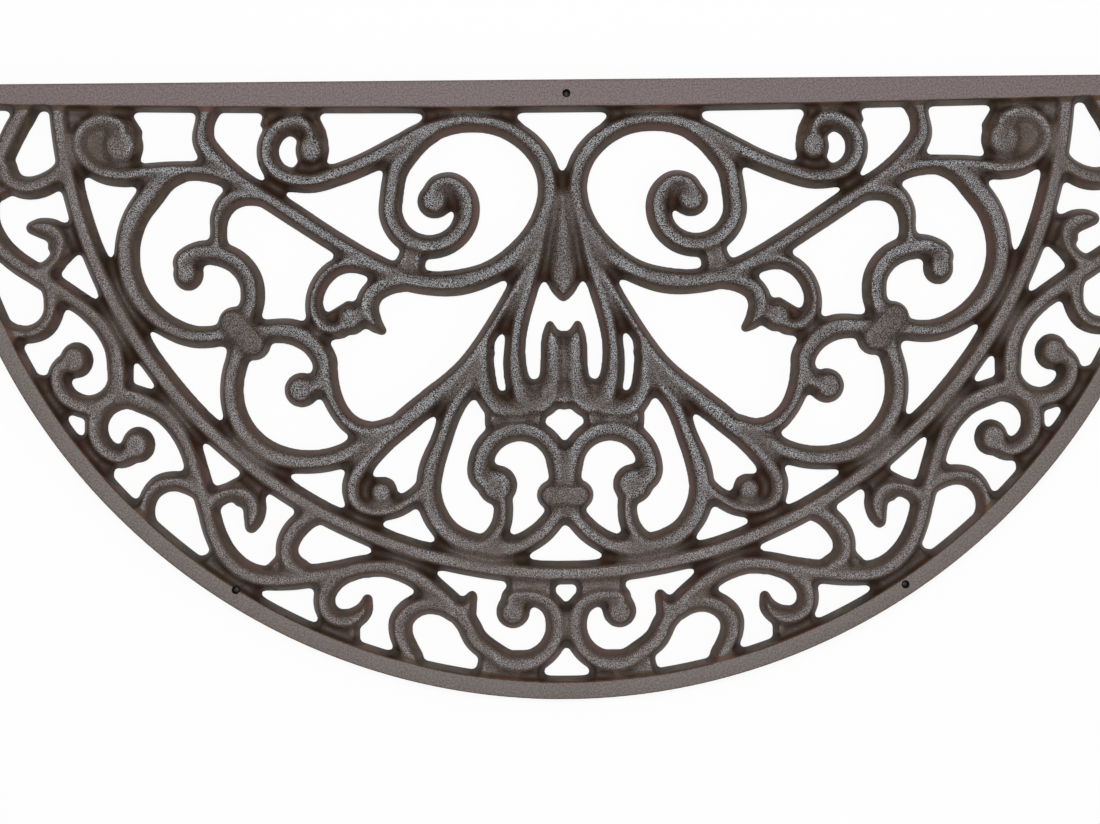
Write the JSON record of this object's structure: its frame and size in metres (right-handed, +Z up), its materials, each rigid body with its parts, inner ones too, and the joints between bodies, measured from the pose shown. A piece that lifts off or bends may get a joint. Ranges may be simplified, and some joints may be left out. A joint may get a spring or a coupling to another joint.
{
  "type": "door mat",
  "caption": "Half-round openwork door mat: a one-piece iron casting of scrolls inside a flat rim and straight bar, standing on small rubber feet.",
  "frame": {"origin": "middle of the mat's outline in plan, on the plane that the feet stand on", "axes": "+Z up, +Y towards the straight bar, -Y towards the round rim, X along the straight bar"},
  "size_m": [0.7594, 0.373, 0.0156],
  "materials": {
    "iron": "as cast, dark brown walls and worn grey tops",
    "rubber": "matte"
  },
  "bodies": {
    "root": {"mat_casting": "iron", "rubber_foot_bar": "rubber", "rubber_foot_rim_left": "rubber", "rubber_foot_rim_right": "rubber", "rubber_foot_tip_left": "rubber", "rubber_foot_tip_right": "rubber"}
  },
  "joints": []
}
